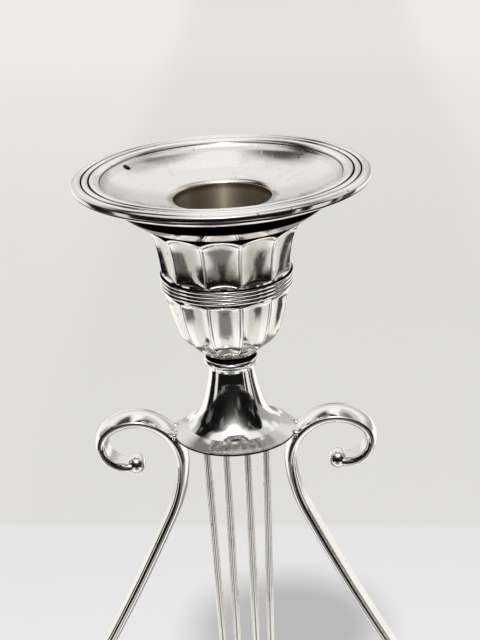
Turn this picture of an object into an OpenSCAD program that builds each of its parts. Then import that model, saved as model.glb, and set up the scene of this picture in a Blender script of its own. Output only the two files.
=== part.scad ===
// Lyre candlestick: loaded round foot, lyre with four strings, fluted capital, lift-out nozzle.
// Millimetres. Z = 0 is the underside of the baize pad, Z is the stick's axis,
// and the lyre lies in the XZ plane.

/* [Overall] */
// height from the table to the crest of the drip pan
stick_h = 280; // [272:1:300]
// diameter over the outer reed of the foot
foot_d = 125; // [118:1:135]
// diameter over the outer reed of the drip pan
pan_d = 66.5; // [66:0.5:68]

/* [Candle socket] */
// bore that takes the candle
socket_d = 22; // [20:0.5:22]
// depth from the pan's hole to the socket floor
socket_depth = 22; // [18:0.5:23]

/* [Lyre] */
// front-to-back depth of the lyre strips
arm_w = 8; // [6:0.5:9]
// thickness of a strip at its edges
arm_t = 1.8; // [1.5:0.1:2]
// height of the crown on the side that faces the strings
arm_crown = 0.85; // [0.4:0.05:1]
// length of the long run below the lyre's waist
arm_run = 48.2; // [44:0.2:52]
// radius of the lyre's round bottom
lyre_r = 41; // [38:0.5:43]
// diameter of a string
string_d = 2; // [1.6:0.1:2.4]

/* [Fluting] */
// flutes round the capital
flutes = 12; // [10:1:14]
// depth of a flute in the bell
flute_depth = 1; // [0.6:0.1:1.2]
// flutes round the foot
foot_flutes = 24; // [18:1:26]

/* [Hidden] */
$fn = 96;
sheet = 0.65;
gap = 0.05;
silver = [0.83, 0.83, 0.81];
steel = [0.55, 0.56, 0.58];

// Height of the reeded band on the capital; the capital, neck and lyre are set out from it.
band_z = stick_h - 24.2;

// Nozzle, from the band
rim_r = pan_d / 2;
rim_z = 22.35;
tube_r = socket_d / 2;
tube_wall = 0.5;
hole_z = 18.7;
tube_floor_z = hole_z - socket_depth;
tube_floor_t = 0.6;

// Capital, from the band
liner_r = tube_r + tube_wall + 0.35;
liner_wall = 0.5;
shell_r = liner_r + liner_wall + gap;
bell_z0 = 1.05;
bell_z1 = 21.1;
arch_z = 12.7;
arch_r = 7.6;
bell_c = [34.6, 1.73];
bell_arc = 20;
bowl_z0 = -18.1;
bowl_z1 = -2.65;
bowl_c = [-9.1, -1.85];
bowl_arc = 23.4;
reed_r = 0.5;
reed_pitch = 0.84;

// Neck, disc and strings, from the band
neck_z1 = -22.9;
neck_z0 = -37.3;
disc_r = 14.4;
disc_z0 = -39.4;
head_z0 = -41.2;
string_x = [2.5, 7.15];
string_lean = [0.1, 1.16];

// Lyre strip: a chain of arcs [radius, angle], the first started from the scroll's inner end.
// A positive angle turns left as the strip runs from the scroll to the foot of the lyre.
scroll_start = [25, -47.45];
scroll_dir = -7.6;
run_r = 600;
upper_arcs = [[5.88, 92.5], [4.64, 55.1], [9.87, 65.7], [11.05, 66.6], [32.8, 22.4],
              [run_r, arm_run / run_r * 180 / PI]];
hip_r = 55;
curl_r = 2.1;
curl_w = 5;
crown_steps = 6;

// Where an arc of radius r that turns by a ends, and where the strip is after n arcs
function arc_end(p, d, r, a) =
    p + r * sign(a) * [sin(d + a) - sin(d), cos(d) - cos(d + a)];
function run_point(n, p = scroll_start, d = scroll_dir, i = 0) =
    i == n ? p
           : run_point(n, arc_end(p, d, upper_arcs[i][0], upper_arcs[i][1]),
                       d + upper_arcs[i][1], i + 1);
function dir_at(n) = n == 0 ? scroll_dir : dir_at(n - 1) + upper_arcs[n - 1][1];
run_end = run_point(len(upper_arcs));
run_dir = dir_at(len(upper_arcs));
hip_turn = run_dir - 270;
hip_end = arc_end(run_end, run_dir, hip_r, -hip_turn);
lyre_c = hip_end - [lyre_r, 0];
lyre_z0 = lyre_c[1] - lyre_r;
arm_end_x = 4.6;
base_turn = asin((arm_end_x - lyre_c[0]) / lyre_r);
arm_end = lyre_c + lyre_r * [sin(base_turn), -cos(base_turn)];

// Boss, knop and foot, from the table
boss_z1 = band_z + lyre_z0 + 3.2;
boss_z0 = boss_z1 - 8;
boss_r = 6.6;
knop_z0 = boss_z0 - 11;
knop_r = 9.5;
ring_z0 = knop_z0 - 1.8;
foot_r = foot_d / 2;
dome_in = 7.15;
dome_z = 46;
crown_band_z = dome_z + 3.9;
dome_c = [52.5, 52];
dome_arc = 38.5;
foot_bar_dir = 232;
foot_bar_arc = 28;
foot_bar_r = 4.8;
foot_bar_in = dome_arc + 0.9 - foot_bar_r - foot_bar_arc;
plate_z = 1.2;
plate_t = 1.2;
fill_z = plate_z + plate_t;
rod_r = 2.5;
nut_z = 3.4;
nut_h = 3.4;
washer_t = 0.8;
recess_r = 8;
recess_z = nut_z + nut_h + washer_t;
string_foot_z0 = boss_z1;
string_foot_z1 = boss_z1 + 1.3;

// ---- helpers ----

// Flat ring or disc
module ring(r1, r0, z0, z1) {
    translate([0, 0, z0]) difference() {
        cylinder(r = r1, h = z1 - z0);
        if (r0 > 0) translate([0, 0, -1]) cylinder(r = r0, h = z1 - z0 + 2);
    }
}

// Solid turned from a polygon of [radius, height]
module turned(points, z = 0) {
    translate([0, 0, z]) rotate_extrude() polygon(points);
}

// Copies of a cutter set round the axis
module round_axis(n) {
    for (i = [0 : n - 1]) rotate([0, 0, -90 + i * 360 / n]) children();
}

// Round bar of radius r bent to radius major about c in the plane of a flute
module bent_bar(c, major, r, from, to) {
    translate([c[0], 0, c[1]]) rotate([90, 0, 0])
        rotate_extrude(angle = to - from, start = from) translate([major, 0]) circle(r);
}

// ---- foot ----

module baize_pad() {
    color([0.10, 0.30, 0.16]) ring(foot_r - 4.7, 0, 0, plate_z);
}

module base_plate() {
    color(steel) ring(foot_r - 4.4, 0, plate_z, fill_z);
}

module base_filling() {
    color([0.16, 0.13, 0.11]) difference() {
        turned([[0, fill_z], [foot_r - 11, fill_z], [foot_r - 11, 7.4], [49, 10.2],
                [41, 12.4], [32, 16.5], [24, 22.5], [18, 29], [14.6, 36], [12.6, 41], [0, 41]]);
        translate([0, 0, fill_z - 1]) cylinder(r = recess_r, h = recess_z - fill_z + 1);
        cylinder(r = rod_r + gap, h = 60);
    }
}

module tie_rod() {
    color(steel) ring(rod_r, 0, nut_z - 0.6, boss_z0 + 4);
}

module tie_nut() {
    color(steel) difference() {
        translate([0, 0, nut_z]) cylinder(r = 4.6, h = nut_h, $fn = 6);
        cylinder(r = rod_r + gap, h = 20);
    }
}

module tie_washer() {
    color(steel) ring(7, rod_r + gap, nut_z + nut_h, recess_z);
}

// Three reeds stepping inwards and upwards
module foot_rim() {
    color(silver) rotate_extrude() difference() {
        union() {
            translate([foot_r - 1.9, 2.3]) circle(1.9);
            translate([foot_r - 4.5, 4.5]) circle(1.4);
            translate([foot_r - 6.7, 5.8]) circle(1.1);
            translate([foot_r - 7.2, 3.6]) square([5, 1.6]);
        }
        translate([foot_r - 12, 0.2]) square([7.8, 4.6]);
        translate([foot_r - 12, 4]) square([12 - dome_in + gap, 4]);
    }
}

module foot_dome() {
    in = foot_r - dome_in;
    color(silver) difference() {
        rotate_extrude() difference() {
            polygon([[13.2, dome_z], [14.6, dome_z], [53.5, dome_z], [53.5, 11.4], [52.6, 10],
                     [in, 7.2], [in, 4.8], [foot_r - 10.8, 4.8], [foot_r - 10.8, 7.4],
                     [49, 10.4], [41, 12.6], [32, 16.7], [24, 22.7], [18, 29.2],
                     [14.8, 36.1], [13.2, 41]]);
            translate(dome_c) circle(dome_arc);
            translate([50, 13.4]) square([5, 40]);
        }
        round_axis(foot_flutes)
            bent_bar(dome_c + foot_bar_in * [cos(foot_bar_dir), sin(foot_bar_dir)],
                     foot_bar_arc, foot_bar_r, foot_bar_dir - 60, foot_bar_dir + 60);
    }
}

module foot_band() {
    color(silver) rotate_extrude() union() {
        translate([rod_r + 4, dome_z]) square([8, 3.9]);
        for (i = [0 : 2]) translate([14.5, dome_z + 0.65 + 1.3 * i]) circle(0.65);
    }
}

module foot_neck() {
    h = ring_z0 - crown_band_z;
    color(silver) turned([[rod_r + gap, 0], [13, 0], [12.6, 0.8], [10.2, 0.16 * h],
                          [8.2, 0.34 * h], [6.8, 0.55 * h], [6, 0.78 * h], [5.7, h],
                          [rod_r + gap, h]], crown_band_z);
}

module foot_ring() {
    color(silver) rotate_extrude() union() {
        translate([6.6, ring_z0 + 0.9]) circle(0.9);
        translate([rod_r + gap, ring_z0]) square([4, 1.8]);
    }
}

module knop() {
    color(silver) rotate_extrude() difference() {
        intersection() {
            translate([rod_r + gap, knop_z0]) square([knop_r, 11]);
            translate([0.9, knop_z0 + 5.5]) scale([1, 0.82]) circle(knop_r - 0.9);
        }
        translate([0, knop_z0 + 5.15]) translate([knop_r - 0.2, 0]) square([1, 0.7]);
    }
}

module lyre_boss() {
    color(silver) difference() {
        turned([[0, 0], [5.2, 0], [5.2, 0.8], [5.9, 1.6], [boss_r, 2.8], [boss_r, 7.2],
                [6, 8], [0, 8]], boss_z0);
        translate([0, 0, boss_z0 - 1]) cylinder(r = rod_r + gap, h = 5);
    }
}

// ---- lyre ----

// Section of a strip of half-depth h: flat on the outside of the lyre, crowned towards
// the strings; u runs to the right of the strip's travel, v front to back
function strip_section(h) = concat(
    [[-arm_t / 2, h], [-arm_t / 2, -h]],
    [for (k = [0 : crown_steps])
        let (v = 2 * k / crown_steps - 1) [arm_t / 2 + arm_crown * (1 - v * v), v * h]]);

// Stations [x, z, direction, half-depth] along an arc, the last one left to its successor
function arc_stations(p, d, r, a, h0 = arm_w / 2) =
    let (n = ceil(abs(a) / 7))
    [for (k = [0 : n - 1])
        let (q = arc_end(p, d, r, a * k / n))
        [q[0], q[1], d + a * k / n, h0 + (arm_w / 2 - h0) * sin(90 * k / n)]];

function strip_stations() = concat(
    [for (i = [0 : len(upper_arcs) - 1])
        each arc_stations(run_point(i), dir_at(i), upper_arcs[i][0], upper_arcs[i][1],
                          i == 0 ? curl_w / 2 : arm_w / 2)],
    arc_stations(run_end, run_dir, hip_r, -hip_turn),
    arc_stations(hip_end, 270, lyre_r, base_turn - 90),
    [[arm_end[0], arm_end[1], 180 + base_turn, arm_w / 2]]);

// Solid swept through the stations, one ring of points each
module strip(stations) {
    m = len(strip_section(1));
    n = len(stations);
    points = [for (s = stations) for (q = strip_section(s[3]))
        [s[0] + q[0] * sin(s[2]), q[1], s[1] - q[0] * cos(s[2])]];
    sides = [for (i = [0 : n - 2]) for (j = [0 : m - 1])
        [(i + 1) * m + j, (i + 1) * m + (j + 1) % m, i * m + (j + 1) % m, i * m + j]];
    ends = [[for (j = [0 : m - 1]) j], [for (j = [m - 1 : -1 : 0]) (n - 1) * m + j]];
    polyhedron(points, concat(sides, ends), convexity = 6);
}

// Right-hand arm, from the scroll's curled end to the boss
module arm() {
    translate([0, 0, band_z]) {
        strip(strip_stations());
        translate([scroll_start[0] - 1, curl_w / 2, scroll_start[1]]) rotate([90, 0, 0])
            cylinder(r = curl_r, h = curl_w, $fn = 40);
    }
}

module arm_right() {
    color(silver) arm();
}

module arm_left() {
    color(silver) mirror([1, 0, 0]) arm();
}

// A string leaning in towards the foot of the lyre, trimmed flat at both ends
module lyre_string(side, i) {
    top = band_z + head_z0;
    color(silver) intersection() {
        translate([side * string_x[i], 0, top + 5.6]) rotate([0, 180 + side * string_lean[i], 0])
            cylinder(r = string_d / 2, h = 200);
        translate([-20, -5, string_foot_z1]) cube([40, 10, top - string_foot_z1]);
    }
}

module string_outer_left() { lyre_string(-1, 1); }
module string_inner_left() { lyre_string(-1, 0); }
module string_inner_right() { lyre_string(1, 0); }
module string_outer_right() { lyre_string(1, 1); }

module string_foot() {
    color(silver) ring(7.6, 0, string_foot_z0, string_foot_z1);
}

module string_head() {
    color(silver) ring(9.4, 0, band_z + head_z0, band_z + disc_z0);
}

// ---- disc and neck ----

module disc() {
    color(silver) turned([[0, disc_z0], [disc_r - 0.1, disc_z0], [disc_r, disc_z0 + 0.15],
                          [disc_r, disc_z0 + 0.5], [disc_r - 0.3, disc_z0 + 0.75],
                          [12.6, disc_z0 + 1.35], [11.2, neck_z0], [0, neck_z0]], band_z);
}

module neck() {
    color(silver) turned([[3.6, neck_z0], [11.2, neck_z0], [9.9, -36.3], [8.75, -35],
                          [7.9, -33.6], [7.2, -32], [6.6, -30], [6.1, -28], [5.7, -26.3],
                          [5.4, -24.7], [5.25, neck_z1], [3.6, neck_z1]], band_z);
}

module neck_collar() {
    color(silver) translate([0, 0, band_z]) rotate_extrude() difference() {
        union() {
            translate([0, neck_z1]) square([5.4, bowl_z0 - neck_z1]);
            translate([5.65, -20.85]) circle(0.75);
            translate([0, bowl_z0 - 0.35]) square([6.6, 0.35]);
        }
        translate([6.5, -22.6]) circle(1.15);
    }
}

// ---- capital ----

module capital_bowl() {
    color(silver) translate([0, 0, band_z]) difference() {
        rotate_extrude() difference() {
            intersection() {
                translate(bowl_c) circle(bowl_arc);
                translate([0, bowl_z0]) square([20, bowl_z1 - bowl_z0]);
            }
            intersection() {
                translate(bowl_c) circle(bowl_arc - 1.5);
                translate([-1, -15.5]) square([20, 16]);
            }
        }
        round_axis(flutes) bent_bar(bowl_c, bowl_arc + 5 - 0.8, 5, -50, -4.4);
    }
}

module capital_band() {
    color(silver) translate([0, 0, band_z]) rotate_extrude() union() {
        translate([shell_r, bowl_z1]) square([14.7 - shell_r, bell_z0 - bowl_z1]);
        for (i = [0 : 3]) translate([14.72, bowl_z1 + 0.59 + reed_pitch * i]) circle(reed_r);
    }
}

module capital_bell() {
    color(silver) difference() {
        turned([[shell_r, bell_z0], [14.75, bell_z0], [15, 4], [15.3, 6.2], [15.7, 8.2],
                [16.2, 10], [16.9, 11.6], [17.9, 12.9], [19.3, 14.05], [21, 15.15],
                [22.8, 16.45], [24.5, 17.95], [26, 19.4], [27.3, 20.4], [28.5, 20.7],
                [28.5, bell_z1], [26.3, bell_z1], [24.9, 19.6], [23.45, 18.15],
                [21.6, 16.7], [19.5, 15.3], [17, 14.1], [15.1, 11.7], [13.9, 8.4],
                [shell_r, 5.5]], band_z);
        translate([0, 0, band_z]) round_axis(flutes) intersection() {
            bent_bar(bell_c, bell_arc - 7.4 + flute_depth, 7.4, 125, 180);
            translate([10, 0, arch_z - arch_r]) rotate([0, 90, 0])
                cylinder(r = arch_r, h = 14);
            translate([10, -10, bell_z0 + 0.3]) cube([14, 20, 14]);
        }
    }
}

// Rolled edge that the nozzle rests on
module capital_lip() {
    color(silver) translate([0, 0, band_z]) rotate_extrude() difference() {
        translate([28.9, 21]) circle(0.7);
        translate([27, 19]) square([1.5, 3]);
    }
}

module capital_liner() {
    color(silver) ring(liner_r + liner_wall, liner_r, band_z - 6, band_z + 8);
}

module liner_floor() {
    color(silver) ring(liner_r - gap, 0, band_z - 6, band_z - 5.4);
}

// ---- nozzle ----

module nozzle_pan() {
    in = tube_r + tube_wall + gap;
    color(silver) turned([[in, hole_z - sheet], [in, hole_z], [24.7, 20.9], [26.1, rim_z],
                          [rim_r - 2.15, rim_z], [rim_r - 2.15, rim_z - 0.6],
                          [26.7, rim_z - 0.6], [25.1, 20.25]], band_z);
}

// Three reeds on the pan's edge
module nozzle_rim() {
    color(silver) translate([0, 0, band_z]) rotate_extrude() difference() {
        union() {
            translate([rim_r - 1.1, 23.1]) circle(1.1);
            translate([rim_r - 3.05, 23.15]) circle(0.88);
            translate([rim_r - 4.6, 22.85]) circle(0.77);
            translate([rim_r - 5.3, rim_z]) square([3.4, 0.7]);
        }
        translate([rim_r - 6, rim_z - 2]) square([3.9, 2]);
    }
}

module nozzle_tube() {
    color(silver) ring(tube_r + tube_wall, tube_r, band_z + tube_floor_z, band_z + hole_z);
}

module nozzle_floor() {
    color(silver) ring(tube_r + tube_wall, 0, band_z + tube_floor_z - tube_floor_t,
                       band_z + tube_floor_z);
}

// ---- assembly ----

baize_pad();
base_plate();
base_filling();
tie_rod();
tie_nut();
tie_washer();
foot_rim();
foot_dome();
foot_band();
foot_neck();
foot_ring();
knop();
lyre_boss();
string_foot();
arm_left();
arm_right();
string_outer_left();
string_inner_left();
string_inner_right();
string_outer_right();
string_head();
disc();
neck();
neck_collar();
capital_bowl();
capital_band();
capital_bell();
capital_lip();
capital_liner();
liner_floor();
nozzle_pan();
nozzle_rim();
nozzle_tube();
nozzle_floor();
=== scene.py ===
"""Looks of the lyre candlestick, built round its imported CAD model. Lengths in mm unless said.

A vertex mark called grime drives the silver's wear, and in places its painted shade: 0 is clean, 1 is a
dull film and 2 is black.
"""
import math

import bpy
from mathutils import Matrix, Vector, noise


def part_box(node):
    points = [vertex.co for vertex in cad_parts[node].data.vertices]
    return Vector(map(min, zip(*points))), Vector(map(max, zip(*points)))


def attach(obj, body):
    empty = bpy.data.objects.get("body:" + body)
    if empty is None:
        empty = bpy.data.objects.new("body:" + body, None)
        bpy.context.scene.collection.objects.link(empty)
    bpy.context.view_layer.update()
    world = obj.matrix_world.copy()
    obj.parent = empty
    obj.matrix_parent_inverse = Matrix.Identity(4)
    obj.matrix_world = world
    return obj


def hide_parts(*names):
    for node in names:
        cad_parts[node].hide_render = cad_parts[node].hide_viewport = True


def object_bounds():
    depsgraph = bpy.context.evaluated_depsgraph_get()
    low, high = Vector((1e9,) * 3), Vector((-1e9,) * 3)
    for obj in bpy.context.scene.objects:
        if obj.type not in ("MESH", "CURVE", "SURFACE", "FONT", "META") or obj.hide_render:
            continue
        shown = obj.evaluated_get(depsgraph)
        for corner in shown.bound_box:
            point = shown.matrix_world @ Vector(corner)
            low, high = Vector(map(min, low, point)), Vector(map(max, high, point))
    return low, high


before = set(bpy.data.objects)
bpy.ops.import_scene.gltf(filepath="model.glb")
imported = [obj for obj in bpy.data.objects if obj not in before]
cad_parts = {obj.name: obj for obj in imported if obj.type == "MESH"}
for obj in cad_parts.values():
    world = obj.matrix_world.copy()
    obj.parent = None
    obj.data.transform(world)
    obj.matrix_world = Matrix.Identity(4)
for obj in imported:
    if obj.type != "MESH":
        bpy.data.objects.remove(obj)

cad_lo, cad_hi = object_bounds()

MM = 0.001
TAU = 2 * math.pi
BLACK = 2.0  # the mark at its blackest: tarnish filling a groove, and painted shade on the flare under the pan, in the collar's hollow and on the disc's lower edge

TOP = cad_hi.z / MM  # crest of the drip pan
BAND = TOP - 24.2  # the reeded band on the capital; outlines above the foot are measured from it
FOOT_R = 62.5
RIM_R = 33.25
SOCKET_R, SOCKET_WALL = 11.0, 0.5
SOCKET_TOP, SOCKET_FLOOR = 18.0, -3.3  # from the band
DISC_R = 14.4
DISC_UNDER = -39.4  # from the band
CAPITAL_FLUTES, FOOT_FLUTES = 12, 24


# ---------------------------------------------------------------- outlines


def spline(points, n):
    """Catmull-Rom curve through the points, n steps to a span."""
    p = [points[0], *points, points[-1]]
    out = []
    for four in zip(p, p[1:], p[2:], p[3:]):
        for k in range(n):
            t = k / n
            out.append(tuple(
                0.5 * (
                    2 * b + (c - a) * t + (2 * a - 5 * b + 4 * c - d) * t * t
                    + (3 * b - a - 3 * c + d) * t**3
                )
                for a, b, c, d in zip(*four)
            ))
    out.append(points[-1])
    return out


def arc(r, z, radius, a0, a1, n):
    """Points of an arc about (r, z), from a0 to a1 degrees in n steps."""
    angles = [math.radians(a0 + (a1 - a0) * k / n) for k in range(n + 1)]
    return [(r + radius * math.cos(a), z + radius * math.sin(a)) for a in angles]


def outline(*items, lift=0.0):
    """A list of (r, z) from points, corners (r, z, fillet) and runs of points."""
    raw = []
    for item in items:
        for p in item if isinstance(item, list) else [item]:
            raw.append((p[0], p[1], p[2] if len(p) > 2 else 0))
    clean = [raw[0]]
    for p in raw[1:]:
        if math.hypot(p[0] - clean[-1][0], p[1] - clean[-1][1]) > 1e-4:
            clean.append(p)
    out = []
    for i, (r, z, fillet) in enumerate(clean):
        if not fillet:
            out.append((r, z + lift))
            continue
        a, b = clean[i - 1], clean[(i + 1) % len(clean)]
        va, vb = Vector((a[0] - r, a[1] - z)), Vector((b[0] - r, b[1] - z))
        cut = min(fillet / math.tan(va.angle(vb) / 2), 0.45 * va.length, 0.45 * vb.length)
        p0, p1 = va.normalized() * cut, vb.normalized() * cut
        out.append((r + p0.x * 1.4, z + p0.y * 1.4 + lift))
        for k in range(5):
            t = k / 4
            q = p0 * (1 - t) ** 2 + p1 * t**2
            out.append((r + q.x, z + q.y + lift))
        out.append((r + p1.x * 1.4, z + p1.y * 1.4 + lift))
    return out


# ---------------------------------------------------------------- meshes


def add_object(name, verts, faces, mat):
    """A mesh object from vertices in metres."""
    me = bpy.data.meshes.new(name)
    me.from_pydata(verts, [], faces)
    me.validate()
    me.materials.append(mat)
    ob = bpy.data.objects.new(name, me)
    bpy.context.scene.collection.objects.link(ob)
    return ob


def solid(name, verts, faces, mat, body, grime_and_shade=None, sharp=50):
    """A finished piece from vertices in mm, in place of the CAD node of its name."""
    ob = add_object(name, [(x * MM, y * MM, z * MM) for x, y, z in verts], faces, mat)
    me = ob.data
    if grime_and_shade is not None and len(me.vertices) == len(grime_and_shade):
        marks = me.attributes.new("grime_and_shade", "FLOAT", "POINT")
        marks.data.foreach_set("value", [float(g) for g in grime_and_shade])
    for p in me.polygons:
        p.use_smooth = True
    me.set_sharp_from_angle(angle=math.radians(sharp))
    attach(ob, body)
    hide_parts(name)


def span(node):
    """Bottom, top and outer radius of a turned CAD node."""
    lo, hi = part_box(node)
    return lo.z / MM, hi.z / MM, hi.x / MM


def ring_faces(count, around, closed=False):
    """Quads between count rings of around vertices each; closed joins the last to the first."""
    faces = []
    for j in range(count if closed else count - 1):
        lo, hi = j * around, (j + 1) % count * around
        for i in range(around):
            k = (i + 1) % around
            faces.append((lo + i, lo + k, hi + k, hi + i))
    return faces


def ring_caps(count, around):
    """The two end faces of a stack of rings."""
    last = (count - 1) * around
    return [tuple(reversed(range(around))), tuple(last + i for i in range(around))]


def revolve(points, around, closed):
    """Vertices and faces of (r, z) points turned about Z; points on the axis are shared."""
    verts, rings = [], []
    for r, z in points:
        if r < 1e-6:
            rings.append([len(verts)] * around)
            verts.append((0, 0, z))
            continue
        rings.append(list(range(len(verts), len(verts) + around)))
        for i in range(around):
            a = TAU * i / around
            verts.append((r * math.cos(a), r * math.sin(a), z))
    faces = []
    m = len(rings)
    for j in range(m if closed else m - 1):
        lo, hi = rings[j], rings[(j + 1) % m]
        if lo[0] == lo[1] and hi[0] == hi[1]:
            continue
        for i in range(around):
            k = (i + 1) % around
            quad = [lo[i], lo[k], hi[k], hi[i]]
            faces.append([v for n, v in enumerate(quad) if v not in quad[:n]])
    return verts, faces


def turned(name, points, mat, body, around=192, grime_and_shade=None, sharp=50):
    """A piece turned from an outline, closed unless it ends on the axis; grime(r, z) marks it."""
    on_axis = [p for p in points if p[0] < 1e-6]
    verts, faces = revolve(points, around, closed=len(on_axis) < 2)
    marks = [grime_and_shade(math.hypot(x, y), z) for x, y, z in verts] if grime_and_shade else None
    solid(name, verts, faces, mat, body, marks, sharp)


class Wall:
    """The outer wall of a turned shell, read by its length from the bottom."""

    def __init__(self, points):
        self.p = points
        self.s = [0.0]
        for a, b in zip(points, points[1:]):
            self.s.append(self.s[-1] + math.dist(a, b))
        self.length = self.s[-1]

    def at(self, s):
        """(r, z) at a length."""
        s = min(max(s, 0), self.length)
        i = 1
        while i < len(self.s) - 1 and self.s[i] < s:
            i += 1
        t = (s - self.s[i - 1]) / (self.s[i] - self.s[i - 1])
        (r0, z0), (r1, z1) = self.p[i - 1], self.p[i]
        return r0 + (r1 - r0) * t, z0 + (z1 - z0) * t

    def normal(self, s):
        """The outward direction at a length."""
        e = 0.15
        s = min(max(s, e), self.length - e)
        (r0, z0), (r1, z1) = self.at(s - e), self.at(s + e)
        d = math.hypot(r1 - r0, z1 - z0)
        return (z1 - z0) / d, -(r1 - r0) / d

    def where_z(self, z):
        """The length at which the wall first crosses a height."""
        for i in range(1, len(self.p)):
            if (self.p[i - 1][1] - z) * (self.p[i][1] - z) <= 0:
                t = (z - self.p[i - 1][1]) / (self.p[i][1] - self.p[i - 1][1] or 1)
                return self.s[i - 1] + t * (self.s[i] - self.s[i - 1])
        return self.length


def fluted(wall, inside, n, ridge, depth, low, high, across=20, bead=0.0):
    """Vertices, faces and marks of a shell with n flutes cut in its wall.

    low and high say how each flute ends: (length along the wall, rise at its corners,
    length of the scoop). ridge(s) is the width left between flutes, depth(s) their depth.
    Columns follow the flutes' edges and rows follow their arched ends. The last
    len(inside) rings are the inner wall.
    """
    half = across // 2
    cols = [("in", math.sin(math.pi / 2 * k / half)) for k in range(-half, half + 1)]
    cols += [("rib", v) for v in (0.25, 0.5, 0.75)]
    pitch = TAU / n
    (s0, rise0, scoop0), (s1, rise1, scoop1) = low, high
    rows = []

    def start(kind, u):
        return s0 + rise0 * (min(1, abs(u)) ** 2 if kind == "in" else 1)

    def end(kind, u):
        return s1 - rise1 * (min(1, abs(u)) ** 2 if kind == "in" else 1)

    def ring(place):
        """One row round the shell, where place(kind, u) gives (s, depth, grime)."""
        row = []
        for i in range(n):
            for kind, u in cols:
                s, d, g = place(kind, u)
                r, z = wall.at(s)
                nr, nz = wall.normal(s)
                half_w = pitch / 2 - ridge(s) / 2 / r
                off = u * half_w if kind == "in" else half_w + u * (pitch - 2 * half_w)
                a = -math.pi / 2 + i * TAU / n + off
                r, z = r - nr * d, z - nz * d
                row.append(((r * math.cos(a), r * math.sin(a), z), g))
        rows.append(row)

    for k in range(5):
        ring(lambda kind, u: (k / 5 * start(kind, u), 0, 0.1))

    def cut(kind, u):
        """t of the way up the flutes, with a dark line of painted shade along each side of a flute."""
        a, b = start(kind, u), end(kind, u)
        s = a + t * (b - a)
        if kind == "rib":
            return s, -bead * math.sin(math.pi * u), 0.0
        lo, hi = min(1, (s - a) / scoop0), min(1, (b - s) / scoop1)
        f = math.sqrt(max(0, 1 - (1 - lo) ** 2)) * math.sqrt(max(0, 1 - (1 - hi) ** 2))
        f *= 1 - u * u
        # painted shade: a dark line along each edge of the flute
        line = 1.75 if 0.955 < abs(u) and 0.03 < t < 0.97 else 0.0
        return s, depth(s) * f, max(line, min(1.0, 1.3 * f))

    steps = [0, 0.012, 0.03, 0.05, 0.075, 0.105, 0.14, 0.18, 0.24, 0.31, 0.4, 0.5]
    for t in steps + [1 - t for t in reversed(steps[:-1])]:
        ring(cut)

    # a bead follows the arched end, then the rows even out and run to the top of the wall
    room = wall.length - s1
    near = [t * min(1, room) for t in (0.15, 0.3, 0.45, 0.6)]
    for t in near:
        rise = -bead * math.sin(math.pi * min(1, t / near[-1]))
        ring(lambda kind, u: (end(kind, u) + t, rise, 0.0))
    s_far = s1 + min(1.0, 0.9 * room)

    def even_out(kind, u):
        b = end(kind, u) + near[-1]
        return b + t * (s_far - b), 0, 0.05

    for t in (0.25, 0.5, 0.75):
        ring(even_out)
    left = wall.length - s_far
    m = max(2, int(left / 0.55))
    for k in range(m + 1):
        ring(lambda kind, u: (s_far + left * k / m, 0, 0.0))

    verts = [v for row in rows for v, _ in row]
    marks = [g for row in rows for _, g in row]
    angles = [math.atan2(v[1], v[0]) for v, _ in rows[-1]]
    for r, z in inside:
        verts += [(r * math.cos(a), r * math.sin(a), z) for a in angles]
        marks += [0.3] * len(angles)
    faces = ring_faces(len(rows) + len(inside), len(angles), closed=True)
    return verts, faces, marks


# ---------------------------------------------------------------- materials


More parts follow.
